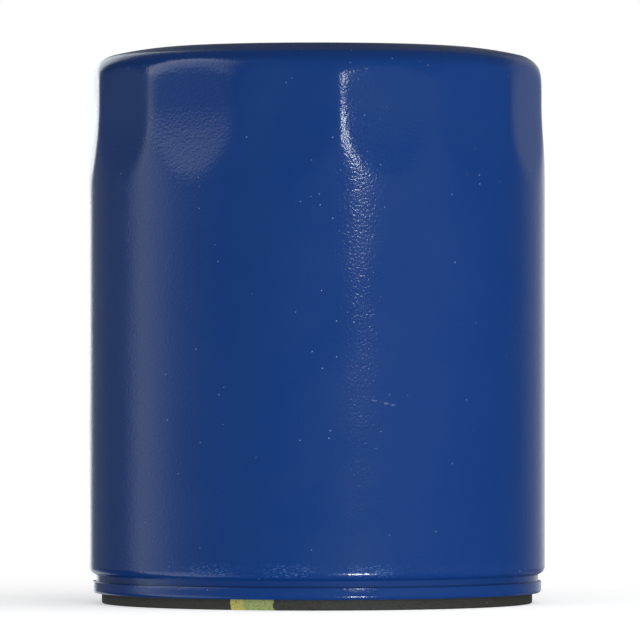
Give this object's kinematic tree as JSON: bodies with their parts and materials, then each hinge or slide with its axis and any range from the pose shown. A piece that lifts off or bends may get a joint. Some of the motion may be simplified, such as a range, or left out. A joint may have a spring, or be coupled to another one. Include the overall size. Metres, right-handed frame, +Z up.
{
  "type": "oil filter",
  "caption": "Blue spin-on oil filter can with a fluted dome, rolled seam, rubber sealing gasket and threaded base plate, standing thread end down.",
  "frame": {"origin": "on the filter's axis, in the sealing face of the gasket, which is the lowest face", "axes": "+Z up along the axis, from the gasket and thread to the closed dome; -Y is the front"},
  "size_m": [0.076, 0.0758, 0.093],
  "materials": {
    "blue_paint": "gloss deep blue enamel with a fine orange-peel surface",
    "gasket_rubber": "matte black nitrile with a yellow and green paint dab",
    "pressed_steel": "thick pressed steel, lightly oiled",
    "plated_steel": "thin tinned sheet",
    "spring_steel": "drawn wire, dark",
    "valve_rubber": "satin black nitrile",
    "filter_paper": "resin-treated paper, matte",
    "potting": "cured plastisol",
    "seam_compound": "dried lining compound"
  },
  "bodies": {
    "filter_body": {"housing_can": "blue_paint", "gasket_retainer": "blue_paint", "seam_compound": "seam_compound", "sealing_gasket": "gasket_rubber", "base_plate": "pressed_steel", "drainback_valve_collar": "valve_rubber", "element_spring": "spring_steel"},
    "element": {"lower_end_cap": "plated_steel", "lower_potting": "potting", "pleated_media": "filter_paper", "media_seam_clip": "plated_steel", "centre_tube": "plated_steel", "upper_potting": "potting", "upper_end_cap": "plated_steel", "bypass_seat": "plated_steel", "bypass_cage": "plated_steel", "bypass_spring": "spring_steel"},
    "bypass_valve": {"bypass_poppet": "plated_steel", "bypass_seal": "valve_rubber"},
    "drainback_flap": {"drainback_valve_lip": "valve_rubber"}
  },
  "joints": [
    {"name": "element_float", "type": "slide", "parent": "filter_body", "child": "element", "axis": [0, 0, 1], "range_m": [0, 0.0015], "stiffness_N_per_m": 8000, "springref_m": -0.008, "deforming": ["element_spring"]},
    {"name": "bypass_lift", "type": "slide", "parent": "element", "child": "bypass_valve", "axis": [0, 0, -1], "range_m": [0, 0.003], "stiffness_N_per_m": 2500, "springref_m": -0.006, "deforming": ["bypass_spring"]},
    {"name": "flap_lift", "type": "slide", "parent": "filter_body", "child": "drainback_flap", "axis": [0, 0, 1], "range_m": [0, 0.0012], "stiffness_N_per_m": 300, "springref_m": -0.001}
  ]
}
